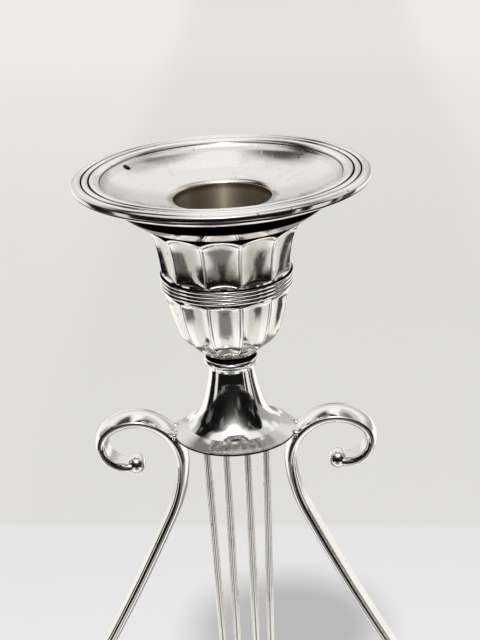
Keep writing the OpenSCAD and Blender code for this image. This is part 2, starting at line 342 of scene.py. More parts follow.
class Nodes:
    """Shorthand for wiring a node tree."""

    def __init__(self, tree):
        self.tree = tree
        coord = tree.nodes.new("ShaderNodeTexCoord")
        self.object = coord.outputs["Object"]
        self.direction = coord.outputs["Generated"]  # in a world's tree

    def link(self, value, socket):
        """Feeds a socket from another socket or from a number."""
        if isinstance(value, (int, float)):
            socket.default_value = value
        else:
            self.tree.links.new(value, socket)

    def scaled(self, scale, turn):
        n = self.tree.nodes.new("ShaderNodeMapping")
        n.inputs["Scale"].default_value = scale
        n.inputs["Rotation"].default_value = turn
        self.link(self.object, n.inputs["Vector"])
        return n.outputs["Vector"]

    def split(self, vector):
        n = self.tree.nodes.new("ShaderNodeSeparateXYZ")
        self.link(vector, n.inputs["Vector"])
        return n.outputs

    def noise(self, scale, detail=3, rough=0.5, vector=None, distortion=0.0):
        n = self.tree.nodes.new("ShaderNodeTexNoise")
        n.inputs["Scale"].default_value = scale
        n.inputs["Detail"].default_value = detail
        n.inputs["Roughness"].default_value = rough
        n.inputs["Distortion"].default_value = distortion
        self.link(vector or self.object, n.inputs["Vector"])
        return n.outputs["Fac"]

    def ramp(self, value, stops):
        """value, taken in a straight line from the first two stops to the last two."""
        n = self.tree.nodes.new("ShaderNodeMapRange")
        n.clamp = True
        for key, stop in zip(("From Min", "From Max", "To Min", "To Max"), stops):
            n.inputs[key].default_value = stop
        self.link(value, n.inputs["Value"])
        return n.outputs["Result"]

    def step(self, value, at, soft):
        """0 below at, 1 above, smooth over soft either side."""
        n = self.tree.nodes.new("ShaderNodeMapRange")
        n.interpolation_type = "SMOOTHSTEP"
        n.inputs["From Min"].default_value = at - soft
        n.inputs["From Max"].default_value = at + soft
        self.link(value, n.inputs["Value"])
        return n.outputs["Result"]

    def below(self, value, at, soft):
        """1 below at, 0 above."""
        return self.math("SUBTRACT", 1.0, self.step(value, at, soft))

    def between(self, value, lo, hi, soft):
        """1 from lo to hi, 0 elsewhere."""
        return self.math("SUBTRACT", self.step(value, lo, soft), self.step(value, hi, soft))

    def math(self, op, a, b=0.0):
        n = self.tree.nodes.new("ShaderNodeMath")
        n.operation = op
        for socket, value in zip(n.inputs, (a, b)):
            self.link(value, socket)
        return n.outputs["Value"]

    def times(self, a, b):
        return self.math("MULTIPLY", a, b)

    def heading(self, x, y):
        """Degrees round from the front, rising to the right."""
        return self.times(self.math("ARCTAN2", x, self.times(y, -1.0)), 180 / math.pi)

    def mix(self, factor, a, b):
        n = self.tree.nodes.new("ShaderNodeMix")
        n.data_type = "RGBA"
        self.link(factor, n.inputs["Factor"])
        for key, v in (("A", a), ("B", b)):
            socket = [s for s in n.inputs if s.name == key and s.type == "RGBA"][0]
            if isinstance(v, tuple):
                socket.default_value = (*v, 1)
            else:
                self.link(v, socket)
        return [s for s in n.outputs if s.type == "RGBA"][0]

    def over(self, base, mask, value):
        """The number base, with value where mask is 1."""
        n = self.tree.nodes.new("ShaderNodeMix")
        n.data_type = "FLOAT"
        self.link(mask, n.inputs["Factor"])
        self.link(base, n.inputs[2])  # A and B of the float kind
        self.link(value, n.inputs[3])
        return n.outputs[0]

    def attribute(self, name):
        n = self.tree.nodes.new("ShaderNodeAttribute")
        n.attribute_name = name
        return n.outputs["Fac"]

    def bump(self, height, distance, normal=None):
        n = self.tree.nodes.new("ShaderNodeBump")
        n.inputs["Strength"].default_value = 1.0
        n.inputs["Distance"].default_value = distance
        self.link(height, n.inputs["Height"])
        if normal:
            self.link(normal, n.inputs["Normal"])
        return n.outputs["Normal"]


def new_material(name, kind="ShaderNodeBsdfPrincipled"):
    """A material with one shader: the material, its nodes and the shader."""
    mat = bpy.data.materials.new(name)
    mat.use_nodes = True
    tree = mat.node_tree
    tree.nodes.clear()
    out = tree.nodes.new("ShaderNodeOutputMaterial")
    shader = tree.nodes.new(kind)
    tree.links.new(shader.outputs[0], out.inputs["Surface"])
    return mat, Nodes(tree), shader


SILVER = (0.945, 0.938, 0.922)
DULL = (0.60, 0.555, 0.49)
OXIDE_AND_SHADE = (0.010, 0.009, 0.0085)
WHITE, NO_SHEEN = (1.0, 1.0, 1.0), (0.04, 0.04, 0.04)


def tarnish_spot(n, x, y, z, size):
    """1 inside a ragged spot of the given radius, all in mm."""
    away = n.tree.nodes.new("ShaderNodeVectorMath")
    away.operation = "DISTANCE"
    n.link(n.object, away.inputs[0])
    away.inputs[1].default_value = (x * MM, y * MM, z * MM)
    ragged = n.ramp(n.noise(900, 2), (0.3, 0.7, -0.12 * MM, 0.12 * MM))
    reach = n.math("ADD", away.outputs["Value"], ragged)
    return n.ramp(reach, (size * MM, size * 0.8 * MM, 0.0, 0.95))


def silver(
    name, clean=SILVER, dull=DULL, rough=(0.035, 0.10), dull_rough=0.24, patchy=0.35, waves=1.0,
    scratch=1.0, specks=1.0, metal=1.0, turned_grain=0.0, spots=(),
):
    """Worn silver: brown-grey film and black tarnish where the marks say, and where they stand for
    shade the same film and black as painted shade; hairline scratches.

    patchy is how strong the film's own patches are, waves and scratch how deep the dents and
    the hairlines, and turned_grain how much a lathe's grain round Z stretches the highlights.
    """
    mat, n, bsdf = new_material(name)
    bsdf.inputs["Metallic"].default_value = metal
    if turned_grain:
        bsdf.inputs["Anisotropic"].default_value = turned_grain
        bsdf.inputs["Anisotropic Rotation"].default_value = 0.25
        tangent = n.tree.nodes.new("ShaderNodeTangent")
        tangent.direction_type = "RADIAL"
        tangent.axis = "Z"
        n.link(tangent.outputs["Tangent"], bsdf.inputs["Tangent"])
    grime_and_shade = n.attribute("grime_and_shade")
    film = n.noise(48, 4, 0.55)
    patches = n.ramp(n.noise(140, 5, 0.62, distortion=0.6), (0.52, 0.78, 0.0, patchy))
    dirt_and_shade = n.times(grime_and_shade, n.ramp(film, (0.3, 0.7, 0.55, 1.1)))
    dirt_and_shade = n.ramp(n.math("MAXIMUM", dirt_and_shade, patches), (0.0, 1.0, 0.0, 1.0))
    specks = n.ramp(n.noise(420, 3, 0.6), (0.70, 0.76, 0.0, 0.85 * specks))
    oxide_and_shade = n.math("MAXIMUM", n.ramp(grime_and_shade, (1.0, 2.0, 0.0, 1.0)), specks)
    for spot in spots:
        oxide_and_shade = n.math("MAXIMUM", oxide_and_shade, tarnish_spot(n, *spot))
    n.link(n.mix(oxide_and_shade, n.mix(dirt_and_shade, clean, dull), OXIDE_AND_SHADE), bsdf.inputs["Base Color"])
    n.link(n.mix(oxide_and_shade, WHITE, NO_SHEEN), bsdf.inputs["Specular Tint"])
    lines_a = n.noise(1.0, 2, 0.5, n.scaled((2600, 160, 700), (0.3, 0.2, 0.9)))
    lines_b = n.noise(1.0, 2, 0.5, n.scaled((210, 2900, 500), (0.7, 0.1, 0.4)))
    lines_a = n.ramp(lines_a, (0.60, 0.72, 0, 1))
    lines_b = n.ramp(lines_b, (0.61, 0.73, 0, 1))
    hair = n.math("MAXIMUM", lines_a, lines_b)
    worn = n.math("ADD", n.ramp(film, (0.3, 0.7, *rough)), n.times(dirt_and_shade, dull_rough))
    n.link(n.math("ADD", worn, n.times(hair, 0.05 * scratch)), bsdf.inputs["Roughness"])
    dents = n.bump(n.noise(70, 2, 0.4), 0.00004 * waves)
    n.link(n.bump(hair, 0.0000012 * scratch, dents), bsdf.inputs["Normal"])
    return mat


def on_pan(r, angle, z, size):
    """A spot on the pan, at a radius and an angle in degrees, z above the band."""
    a = math.radians(angle)
    return r * math.cos(a), r * math.sin(a), BAND + z, size


PAN_SPOTS = [
    on_pan(25.8, 151, 21.85, 1.05),
    on_pan(25.2, 148, 21.4, 0.4),
    on_pan(24.8, 46, 21.2, 0.5),
    on_pan(24.6, 43, 21.15, 0.35),
    on_pan(12.6, 188, 18.3, 0.4),
    on_pan(12.8, 350, 18.4, 0.35),
]

polished = silver("silver_polished")
rim_metal = silver("silver_rim", dull=(0.58, 0.555, 0.515), dull_rough=0.05)
disc_metal = silver(
    "silver_disc", clean=(0.79, 0.775, 0.745), dull=(0.71, 0.665, 0.58), rough=(0.04, 0.10),
    dull_rough=0.1, patchy=0.8, scratch=1.5, metal=0.83,
)
fluting = silver("silver_fluted", dull=(0.55, 0.515, 0.46), dull_rough=0.08, patchy=0.45, scratch=3.0)
bowl_metal = silver("silver_bowl", dull=(0.70, 0.675, 0.63), dull_rough=0.06, scratch=2.0)
pan_metal = silver(
    "silver_pan", clean=(0.88, 0.872, 0.85), dull=(0.64, 0.60, 0.535), rough=(0.06, 0.17),
    patchy=0.5, waves=1.8, scratch=2.5, spots=PAN_SPOTS,
)
socket_metal = silver(
    "silver_socket", clean=(0.74, 0.685, 0.60), dull=(0.42, 0.335, 0.235), rough=(0.32, 0.40),
    dull_rough=0.05, patchy=0.9, metal=0.93, turned_grain=0.95,
)
string_metal = silver(
    "silver_strings", dull=(0.36, 0.315, 0.25), rough=(0.04, 0.10), dull_rough=0.15, patchy=0.6
)
arm_metal = silver(
    "silver_arms", dull=(0.76, 0.725, 0.665), rough=(0.03, 0.08), dull_rough=0.42, specks=0.6
)
foot_metal = silver("silver_foot", dull=(0.6, 0.57, 0.52), dull_rough=0.14)


# ---------------------------------------------------------------- nozzle


def rim_marks(r, z):
    """Black in the grooves between the rim's reeds; underneath, nearly black, and a heavier film on the
    outer roll, both painted shade; a film on the reeds.
    """
    z -= BAND
    if 22.6 < z < 23.8 and 29 < r < 31.4:
        return BLACK
    if z > 22.6 and abs(r - 26.95) < 0.17:
        return 1.5
    # painted shade under the rim's outer edge
    if z < 22.6 and r > 31:
        return 1.9
    # the heavier film on the outer roll is painted shade
    return 0.5 if r > RIM_R - 0.7 else 0.12


def pan_marks(r, z):
    """A film on the slope inside the rim and round the hole."""
    if r > 25.5:
        return 0.35
    return 0.5 if r < 12.6 else 0.05


def tube_marks(r, z):
    """Dull inside the socket and nearly black at its mouth."""
    if r > SOCKET_R + 0.2:
        return 0.1
    return 1.6 if z > BAND + SOCKET_TOP - 0.8 else 0.95


def make_nozzle():
    rim = outline(
        (RIM_R - 5.9, 22.25, 0.1),
        (RIM_R - 2.2, 22.0, 0.15),
        arc(RIM_R - 0.8, 22.78, 0.8, -100, 0, 10),
        arc(RIM_R - 0.5, 23.2, 0.5, 4, 66, 6),
        spline([
            (RIM_R - 0.42, 23.76), (RIM_R - 0.8, 23.93), (RIM_R - 1.25, 24.03),
            (RIM_R - 1.68, 24.0), (RIM_R - 2.0, 23.82), (RIM_R - 2.2, 23.55),
        ], 4),
        arc(RIM_R - 3.05, 23.15, 0.88, 28, 150, 12),
        spline([
            (29.36, 23.55), (29.1, 23.82), (28.7, 23.95), (28.1, 23.93), (27.3, 23.62), (26.85, 23.3),
        ], 4),
        (26.75, 22.6, 0.1),
        lift=BAND,
    )
    turned("nozzle_rim", rim, rim_metal, "nozzle", grime_and_shade=rim_marks)
    pan = outline(
        (11.56, 17.4, 0.1),
        spline([(12.5, 17.5), (18, 18.8), (24.0, 20.1), (25.4, 20.6), (26.6, 21.7)], 5),
        (30.6, 21.75, 0.1),
        (30.6, 22.2, 0.1),
        (26.85, 22.3, 0.1),
        (26.8, 23.2, 0.1),
        spline([
            (26.55, 22.9), (26.1, 22.42), (25.4, 21.92), (24.4, 21.4), (23.2, 20.88), (21.8, 20.4),
            (20.2, 19.97), (18.4, 19.55), (16.4, 19.22), (14.6, 18.95), (13.2, 18.76),
            (12.35, 18.62), (11.9, 18.42),
        ], 5),
        (11.56, 17.95, 0.15),
        lift=BAND,
    )
    turned("nozzle_pan", pan, pan_metal, "nozzle", grime_and_shade=pan_marks)
    outer = SOCKET_R + SOCKET_WALL
    gap = 1.03  # between rings, which hold the marks up the wall
    tube = outline(
        (outer, SOCKET_TOP, 0.15),
        (SOCKET_R, SOCKET_TOP, 0.15),
        [(SOCKET_R, SOCKET_TOP - 0.6 - gap * k) for k in range(20)],
        (SOCKET_R, SOCKET_FLOOR),
        (outer, SOCKET_FLOOR),
        [(outer, SOCKET_FLOOR + gap * k) for k in range(1, 20)],
        lift=BAND,
    )
    turned("nozzle_tube", tube, socket_metal, "nozzle", 128, tube_marks)
    under = SOCKET_FLOOR - 0.6
    floor = outline(
        (0, SOCKET_FLOOR),
        [(1.5 * k, SOCKET_FLOOR) for k in range(1, 8)],
        (outer, SOCKET_FLOOR, 0.1),
        (outer, under, 0.1),
        (0, under),
        lift=BAND,
    )
    turned("nozzle_floor", floor[::-1], socket_metal, "nozzle", 96, lambda r, z: 0.8)


# ---------------------------------------------------------------- capital


def make_bell():
    wall = Wall(spline([
        (14.72, 1.05), (15.0, 4), (15.3, 6.2), (15.68, 8.2), (16.2, 10), (16.95, 11.6), (18.0, 12.9),
        (19.4, 14.05), (21.1, 15.2), (22.9, 16.5), (24.6, 17.95), (26.1, 19.3), (27.4, 20.35),
        (28.4, 20.85),
    ], 8))
    inside = outline(
        (28.3, 21.1),
        spline([
            (26.3, 21.05), (24.9, 19.6), (23.45, 18.15), (21.6, 16.7), (19.5, 15.3), (17, 14.1),
            (15.1, 11.7), (13.9, 8.4), (12.45, 5.5),
        ], 2),
        (12.45, 1.1),
    )
    verts, faces, marks = fluted(
        wall, inside, CAPITAL_FLUTES,
        ridge=lambda s: 0.62,
        depth=lambda s: 0.95,
        low=(wall.where_z(1.45), 0.0, 1.6),
        high=(wall.where_z(12.75), 2.0, 1.5),
        bead=0.13,
    )
    # the flare under the pan is black, partly tarnish and partly painted shade, and the corners between
    # the arches are black as painted shade
    columns = 24 * CAPITAL_FLUTES  # 21 to a flute and 3 to a rib
    for i in range(len(marks) - columns * len(inside)):
        z = verts[i][2]
        if 16.3 < z < 20.95:
            marks[i] = BLACK
        elif 11.2 < z < 13.9 and (marks[i] == 0.05 or z > 13.3):
            marks[i] = 1.95
    verts = [(x, y, z + BAND) for x, y, z in verts]
    solid("capital_bell", verts, faces, fluting, "stick", marks)


def make_bowl():
    wall = Wall(spline([
        (6.7, -18.05), (7.6, -17.5), (8.6, -16.8), (9.53, -16.0), (10.5, -15.0), (11.27, -14),
        (12.23, -12), (13.17, -9), (13.87, -6), (14.23, -3.5), (14.28, -2.7),
    ], 8))
    hollow = outline(
        (12.6, -2.7),
        spline([(12.5, -4), (12.3, -7), (11.4, -10), (9.9, -13), (7.5, -15.2), (5.0, -15.5)], 3),
        (5.0, -18.0),
    )
    verts, faces, marks = fluted(
        wall, hollow, CAPITAL_FLUTES,
        ridge=lambda s: 0.42 + 0.022 * s,
        depth=lambda s: 0.28 + 0.62 * min(1, s / 8),
        low=(wall.where_z(-17.75), 0.0, 0.9),
        high=(wall.where_z(-3.25), 0.5, 1.3),
        bead=0.05,
    )
    verts = [(x, y, z + BAND) for x, y, z in verts]
    # a lighter film in the flutes; the painted shade along their edges stays black
    marks = [0.35 * g if g < 1 else g for g in marks]
    solid("capital_bowl", verts, faces, bowl_metal, "stick", marks)


def collar_marks(r, z):
    """Black in the hollow between the collar's bead and the bowl: painted shade under the bowl."""
    return BLACK if -20.15 < z - BAND < -18.7 else 0.0


def make_capital():
    make_bell()
    lip = outline(arc(28.95, 21.05, 0.72, -160, 160, 24), lift=BAND)
    turned("capital_lip", lip, polished, "stick")
    reeds = [p for i in range(4) for p in arc(14.72, -2.06 + 0.84 * i, 0.49, -58, 58, 8)]
    band = outline(
        (12.5, 0.95, 0.1), (12.5, -2.6, 0.1), (14.4, -2.62, 0.08), reeds, (14.5, 1.0, 0.08), lift=BAND
    )
    turned("capital_band", band, polished, "stick", 240, lambda r, z: BLACK if r < 15.1 else 0.0)
    make_bowl()
    collar = outline(
        (0, -22.9),
        (5.25, -22.9, 0.05),
        spline([(5.3, -22.4), (5.45, -21.9), (5.75, -21.6)], 3),
        arc(5.65, -20.85, 0.75, -62, 72, 10),
        spline([(5.75, -20.1), (5.35, -19.6), (5.45, -19.0), (5.9, -18.6)], 4),
        (6.7, -18.45, 0.1),
        (6.7, -18.1, 0.1),
        (0, -18.1),
        lift=BAND,
    )
    turned("neck_collar", collar, polished, "stick", grime_and_shade=collar_marks)


# ---------------------------------------------------------------- neck and disc


def disc_marks(r, z):
    """Painted shade: black on the lower part of the disc's edge."""
    return BLACK if z < BAND - 38.83 and r > 13.5 else 0.3


def make_neck():
    neck = outline(
        (3.6, -37.3),
        (10.9, -37.3),
        spline([
            (10.9, -37.15), (10.2, -36.55), (9.45, -35.85), (8.75, -35.0), (8.05, -33.8), (7.35, -32.2),
            (6.7, -30.2), (6.15, -28.1), (5.75, -26.3), (5.45, -24.7), (5.27, -22.9),
        ], 6),
        (3.6, -22.9),
        lift=BAND,
    )
    turned("neck", neck, polished, "stick", 224, sharp=32)
    disc = outline(
        (0, DISC_UNDER),
        (DISC_R - 0.5, DISC_UNDER, 0.1),
        (DISC_R, -39.25, 0.12),
        (DISC_R, -38.85, 0.14),
        spline([(14.05, -38.68), (13.4, -38.45), (12.6, -38.1), (11.8, -37.7), (10.95, -37.2)], 5),
        (0, -37.2),
        lift=BAND,
    )
    turned("disc", disc, disc_metal, "stick", 224, disc_marks, sharp=25)


# ---------------------------------------------------------------- strings

STRING_R = 1.0
STRING_TOPS = (("outer", 7.15), ("inner", 2.5))  # distance from the middle, under the disc


def make_string(side, word, kind, x_top, z_low, z_high):
    """One rod, leaning in downwards to the place that its CAD node's box gives."""
    node = f"string_{kind}_{word}"
    (x0, _, _), (x1, _, _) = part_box(node)
    top = side * x_top
    low = side * (min(abs(x0), abs(x1)) / MM + STRING_R)
    rows, around = 90, 28
    verts = []
    for j in range(rows + 1):
        t = j / rows
        z = z_low + (z_high - z_low) * t
        x = low + (top - low) * t
        r = STRING_R * (1 + 0.025 * noise.noise((x * 0.3, side * 7.0 + x_top, z * 0.11))) * 0.985
        for i in range(around):
            a = TAU * i / around
            verts.append((x + r * math.cos(a), r * math.sin(a), z))
    faces = ring_faces(rows + 1, around) + ring_caps(rows + 1, around)
    marks = [0.1 + 0.45 * max(0, 1 - (v[2] - z_low) / (z_high - z_low) * 1.6) for v in verts]
    solid(node, verts, faces, string_metal, "stick", marks)


def make_strings():
    z0, z1, r = span("string_foot")
    under = -41.2
    for side, word in ((-1, "left"), (1, "right")):
        for kind, x_top in STRING_TOPS:
            make_string(side, word, kind, x_top, z1, BAND + under)
    head = outline(
        (0, under),
        (9.2, under, 0.2),
        (9.4, -40.2, 0.3),
        (9.4, DISC_UNDER, 0.05),
        (0, DISC_UNDER),
        lift=BAND,
    )
    turned("string_head", head, polished, "stick", 128, lambda r, z: 0.5)
    foot = outline((0, z0), (r - 0.1, z0, 0.2), (r, z1 - 0.3, 0.25), (r - 0.6, z1, 0.25), (0, z1))
    turned("string_foot", foot, polished, "stick", 128, lambda r, z: 0.6 if r < 5 else 0.1)


# ---------------------------------------------------------------- arms

SCROLL_START = (25.0, -47.45)
SCROLL_DIR = -7.6
# (radius, degrees) of each arc from the scroll's eye outwards; the last is nearly straight
ARM_ARCS = [
    (5.88, 92.5), (4.64, 55.1), (9.87, 65.7), (11.05, 66.6), (32.8, 22.4),
    (600, math.degrees(48.2 / 600)),
]
HIP_R, LYRE_R, ARM_END_X = 55, 41, 4.6
ARM_STEP = 0.35  # between the sections of a strip, four times that on wide arcs
STRIP_T, STRIP_CROWN = 1.8, 0.85
STRIP_HALF, EYE_HALF = 4.0, 2.5  # half the strip's width along the arm and at the eye
OUTER_EDGE, INNER_EDGE = 1.25, 0.33  # radii of the strip's edges
# centre and half sizes of the solder where a strip meets the disc
SOLDER = (
    ((14.2, -2.9, -39.0), (0.95, 1.0, 0.7)),
    ((14.6, -3.3, -40.1), (0.55, 0.7, 0.85)),
    ((14.2, 2.9, -39.0), (0.95, 1.0, 0.7)),
)


def arm_line():
    """Middle line of the right-hand strip, from the eye to the boss: (x, z, direction, distance)."""

    def along(p, d, r, turn):
        """Where an arc of radius r ends that leaves p heading d degrees and turns by turn."""
        s = math.copysign(1, turn)
        a, b = math.radians(d), math.radians(d + turn)
        return (p[0] + r * s * (math.sin(b) - math.sin(a)), p[1] + r * s * (math.cos(a) - math.cos(b)))

    # two more arcs follow: the hip, until the strip heads straight down, and the lyre's bottom
    p, d, run, out = SCROLL_START, SCROLL_DIR, 0.0, []
    arcs = list(ARM_ARCS)
    for i in range(len(arcs) + 2):
        if i == len(ARM_ARCS):
            arcs.append((HIP_R, -(d - 270)))
        if i == len(ARM_ARCS) + 1:
            cx = p[0] - LYRE_R
            base = math.degrees(math.asin((ARM_END_X - cx) / LYRE_R))
            d = 270
            arcs.append((LYRE_R, base - 90))
        r, turn = arcs[i]
        length = r * math.radians(abs(turn))
        n = max(6, int(length / ARM_STEP / (4 if r > 50 else 1)))
        for k in range(n):
            q = along(p, d, r, turn * k / n)
            out.append((q[0], q[1], d + turn * k / n, run + length * k / n))
        p, d, run = along(p, d, r, turn), d + turn, run + length
    out.append((p[0], p[1], d, run))
    return out


def strip_outline(half):
    """Section of a strip: (u, v), well rounded outside, crowned inside."""
    t, near, far = STRIP_T, OUTER_EDGE, INNER_EDGE
    flat = [-1, -0.82, -0.55, -0.2, 0.2, 0.55, 0.82, 1]
    pts = [(-t / 2, f * (half - near)) for f in reversed(flat)]
    outer = [math.radians(180 + 90 * k / 8) for k in range(1, 8)]
    inner = [math.radians(-90 + 60 * k / 4) for k in range(1, 4)]
    outer = [(-t / 2 + near + near * math.cos(a), near * math.sin(a)) for a in outer]
    inner = [(t / 2 - far + far * math.cos(a), far * math.sin(a)) for a in inner]
    pts += [(u, -half + near + v) for u, v in outer]
    pts += [(-t / 2 + near, -half), (t / 2 - far, -half)]
    pts += [(u, -half + far + v) for u, v in inner]
    m = 16
    for k in range(m + 1):
        v = -1 + 2 * k / m
        v = math.sin(v * math.pi / 2) if abs(v) < 1 else v
        pts.append((t / 2 + STRIP_CROWN * (1 - v * v), v * (half - far * 0.35)))
    pts += [(u, half - far - v) for u, v in reversed(inner)]
    pts += [(t / 2 - far, half), (-t / 2 + near, half)]
    pts += [(u, half - near - v) for u, v in reversed(outer)]
    return pts


def turned_over(face):
    """The same face, facing the other way."""
    return (face[0], *reversed(face[1:]))


def strip_mesh():
    """The right-hand strip, with its faces wound for the mirrored one on the left."""
    verts, marks = [], []
    line = arm_line()
    radius, turn = ARM_ARCS[0]
    first_arc = radius * math.radians(turn)
    for x, z, d, run in line:
        widening = math.sin(math.pi / 2 * min(1, run / first_arc))
        section = strip_outline(EYE_HALF + (STRIP_HALF - EYE_HALF) * widening)
        a = math.radians(d)
        for u, v in section:
            verts.append((x + u * math.sin(a), v, z - u * math.cos(a) + BAND))
            marks.append(0.55 if u < -0.8 else 0.08 if run > 30 else 0.05)
    rings = (len(line), len(section))
    faces = [turned_over(f) for f in ring_faces(*rings)]
    return verts, faces + [f[::-1] for f in ring_caps(*rings)], marks


def eye_mesh():
    """The rolled eye of the scroll, a short roll along Y with domed ends, wound like the strip."""
    cx, cz = SCROLL_START[0] - 1.0, SCROLL_START[1]
    radius, flat, rise = 2.1, 0.4, 2.05
    dome = []
    for k in range(9):
        a = math.radians(10 * k)
        dome.append((radius * math.sin(a) ** 0.85, flat + rise * math.cos(a) ** 0.8))
    middle = [(radius, flat), (radius, 0), (radius, -flat)]
    verts, faces = revolve(dome + middle + [(r, -y) for r, y in reversed(dome)], 48, closed=False)
    verts = [(cx + x, z, cz + BAND + y) for x, y, z in verts]
    return verts, [turned_over(f) for f in faces], [0.12] * len(verts)


def solder_mesh(side, centre, size):
    """A lumpy blob, a little different on each side and wound like the strip."""
    (cx, cy, cz), (sx, sy, sz) = centre, size
    rows, around = 11, 20
    verts = []
    for j in range(rows):
        b = math.radians(-80 + 16 * j)
        for i in range(around):
            a = TAU * i / around
            k = 1 + 0.16 * noise.noise((math.cos(a) * 1.7 + cx, math.sin(a) * 1.7 + side, b * 1.3))
            x, y = cx + sx * k * math.cos(b) * math.cos(a), cy + sy * k * math.cos(b) * math.sin(a)
            verts.append((x, y, BAND + cz + sz * k * math.sin(b)))
    faces = ring_faces(rows, around) + ring_caps(rows, around)
    return verts, [f[::-1] for f in faces], [0.3] * len(verts)


def make_arm(side, word):
    verts, faces, marks = [], [], []
    parts = [strip_mesh(), eye_mesh()] + [solder_mesh(side, *blob) for blob in SOLDER]
    for part_verts, part_faces, part_marks in parts:
        base = len(verts)
        verts += [(side * x, y, z) for x, y, z in part_verts]
        marks += part_marks
        for face in part_faces:
            face = [base + i for i in face]
            faces.append(face if side < 0 else face[::-1])
    solid(f"arm_{word}", verts, faces, arm_metal, "stick", marks, sharp=60)


# ---------------------------------------------------------------- foot


def make_stem():
    z0, z1, _ = span("lyre_boss")
    boss = outline(
        (0, z0),
        (5.2, z0, 0.1),
        (5.25, z0 + 0.7, 0.1),
        spline([(5.5, z0 + 1.1), (6.1, z0 + 1.9), (6.5, z0 + 2.8)], 4),
        (6.6, z0 + 3.4),
        (6.6, z0 + 7.0, 0.3),
        (6.0, z0 + 7.9, 0.3),
        (5.8, z1, 0.1),
        (0, z1),
    )
    turned("lyre_boss", boss, polished, "stick", 128, lambda r, z: 0.2)

    z0, z1, radius = span("knop")
    mid = (z0 + z1) / 2
    body = []
    for r, z in arc(0.9, 0, radius - 0.9, -90, 90, 32):
        z = mid + 0.82 * z
        if abs(z - mid) <= (z1 - z0) / 2:
            body.append((radius - 0.22 if abs(z - mid) < 0.42 else r, z))
    knop = outline((2.6, z0), (body[0][0], z0), body, (body[-1][0], z1), (2.6, z1))
    turned("knop", knop, foot_metal, "stick", 192, lambda r, z: 0.7 if abs(z - mid) < 0.5 else 0.05)

    z0, z1, radius = span("foot_ring")
    bead = arc(radius - 0.9, (z0 + z1) / 2, 0.9, -80, 80, 12)
    ring = outline((2.6, z0), (5.9, z0, 0.1), bead, (5.9, z1, 0.1), (2.6, z1))
    turned("foot_ring", ring, polished, "stick", 128)

    z0, z1, _ = span("foot_neck")
    h = z1 - z0
    neck = outline(
        (2.6, z0),
        (13.0, z0),
        (12.9, z0 + 0.5, 0.2),
        spline([
            (12.3, z0 + 0.9), (10.4, z0 + 0.16 * h), (8.5, z0 + 0.32 * h), (7.2, z0 + 0.5 * h),
            (6.3, z0 + 0.7 * h), (5.85, z0 + 0.87 * h), (5.7, z1),
        ], 6),
        (2.6, z1),
    )
    turned("foot_neck", neck, foot_metal, "stick", 192)

    z0, z1, _ = span("foot_band")
    reeds = [p for i in range(3) for p in arc(14.5, z0 + 0.65 + 1.3 * i, 0.65, -66, 66, 8)]
    band = outline((6.6, z0), (14.3, z0, 0.05), reeds, (14.3, z1, 0.05), (6.6, z1))
    turned("foot_band", band, polished, "stick", 224, lambda r, z: 0.8 if r < 14.9 else 0.0)


def make_dome():
    """The hollow fluted dome, an arc in section with a step at its edge."""
    cr, cz, radius = 52.5, 52.0, 38.5
    a0 = math.degrees(math.atan2(13.6 - cz, 49.0 - cr))
    a1 = -180 + math.degrees(math.asin((cz - 46) / radius))
    edge = FOOT_R - 7.15
    step = [
        (edge, 7.2), (54.9, 8.0), (54.0, 9.2), (53.5, 10.2), (53.4, 12.2), (52.9, 13.1), (52.0, 13.45),
        (50.6, 13.5),
    ]
    wall = Wall(step + arc(cr, cz, radius, a0, a1, 60))
    inside = outline(
        (13.3, 46), (13.2, 41), (14.8, 36.1), (18, 29.2), (24, 22.7), (32, 16.7), (41, 12.6),
        (49, 10.4), (FOOT_R - 10.8, 7.4), (FOOT_R - 10.8, 4.85), (edge, 4.85),
    )
    low, high = wall.s[len(step)] + 4.0, wall.length - 6.5
    verts, faces, marks = fluted(
        wall, inside, FOOT_FLUTES,
        ridge=lambda s: 0.9 + 1.6 * max(0.0, 1 - (s - low) / 26) ** 1.5,
        depth=lambda s: 0.45 + 0.55 * max(0.0, 1 - (s - low) / (high - low)),
        low=(low, 1.6, 2.6),
        high=(high, 0.8, 2.0),
        across=12,
        bead=0.03,
    )
    # a lighter film in the flutes, and the painted shade along their edges at 1.4
    marks = [0.6 * g if g < 1 else 1.4 for g in marks]
    solid("foot_dome", verts, faces, foot_metal, "stick", marks)


def foot_rim_marks(r, z):
    """A film in the two grooves of the foot's rim."""
    return 0.6 if abs(r - 59.3) < 0.35 or abs(r - 57) < 0.35 else 0.0


def make_foot():
    make_stem()
    make_dome()
    rim = outline(
        (58.3, 0.45, 0.1),
        (FOOT_R - 2.6, 0.45, 0.1),
        arc(FOOT_R - 1.9, 2.3, 1.9, -80, 118, 20),
        arc(FOOT_R - 4.5, 4.5, 1.4, 20, 132, 12),
        arc(FOOT_R - 6.7, 5.8, 1.1, 25, 160, 10),
        (FOOT_R - 7.08, 5.6),
        (FOOT_R - 7.08, 4.9, 0.05),
        (58.3, 4.8, 0.05),
    )
    turned("foot_rim", rim, foot_metal, "stick", 288, foot_rim_marks)


make_nozzle()
make_capital()
make_neck()
make_strings()
make_arm(1, "right")
make_arm(-1, "left")
make_foot()


# ---------------------------------------------------------------- hidden pieces


def plain(name, colour, rough, metal, grain):
    """A material with blotches of a darker shade and a fine bump."""
    mat, n, bsdf = new_material(name)
    bsdf.inputs["Metallic"].default_value = metal
    blotches = n.ramp(n.noise(grain, 4, 0.6), (0.35, 0.7, 0, 1))
    dark = tuple(0.7 * c for c in colour)
    n.link(n.mix(blotches, colour, dark), bsdf.inputs["Base Color"])
    roughness = n.ramp(n.noise(grain * 3, 3), (0.3, 0.7, rough - 0.08, rough + 0.08))
    n.link(roughness, bsdf.inputs["Roughness"])
    n.link(n.bump(n.noise(grain * 5, 2), 0.00005), bsdf.inputs["Normal"])
    return mat


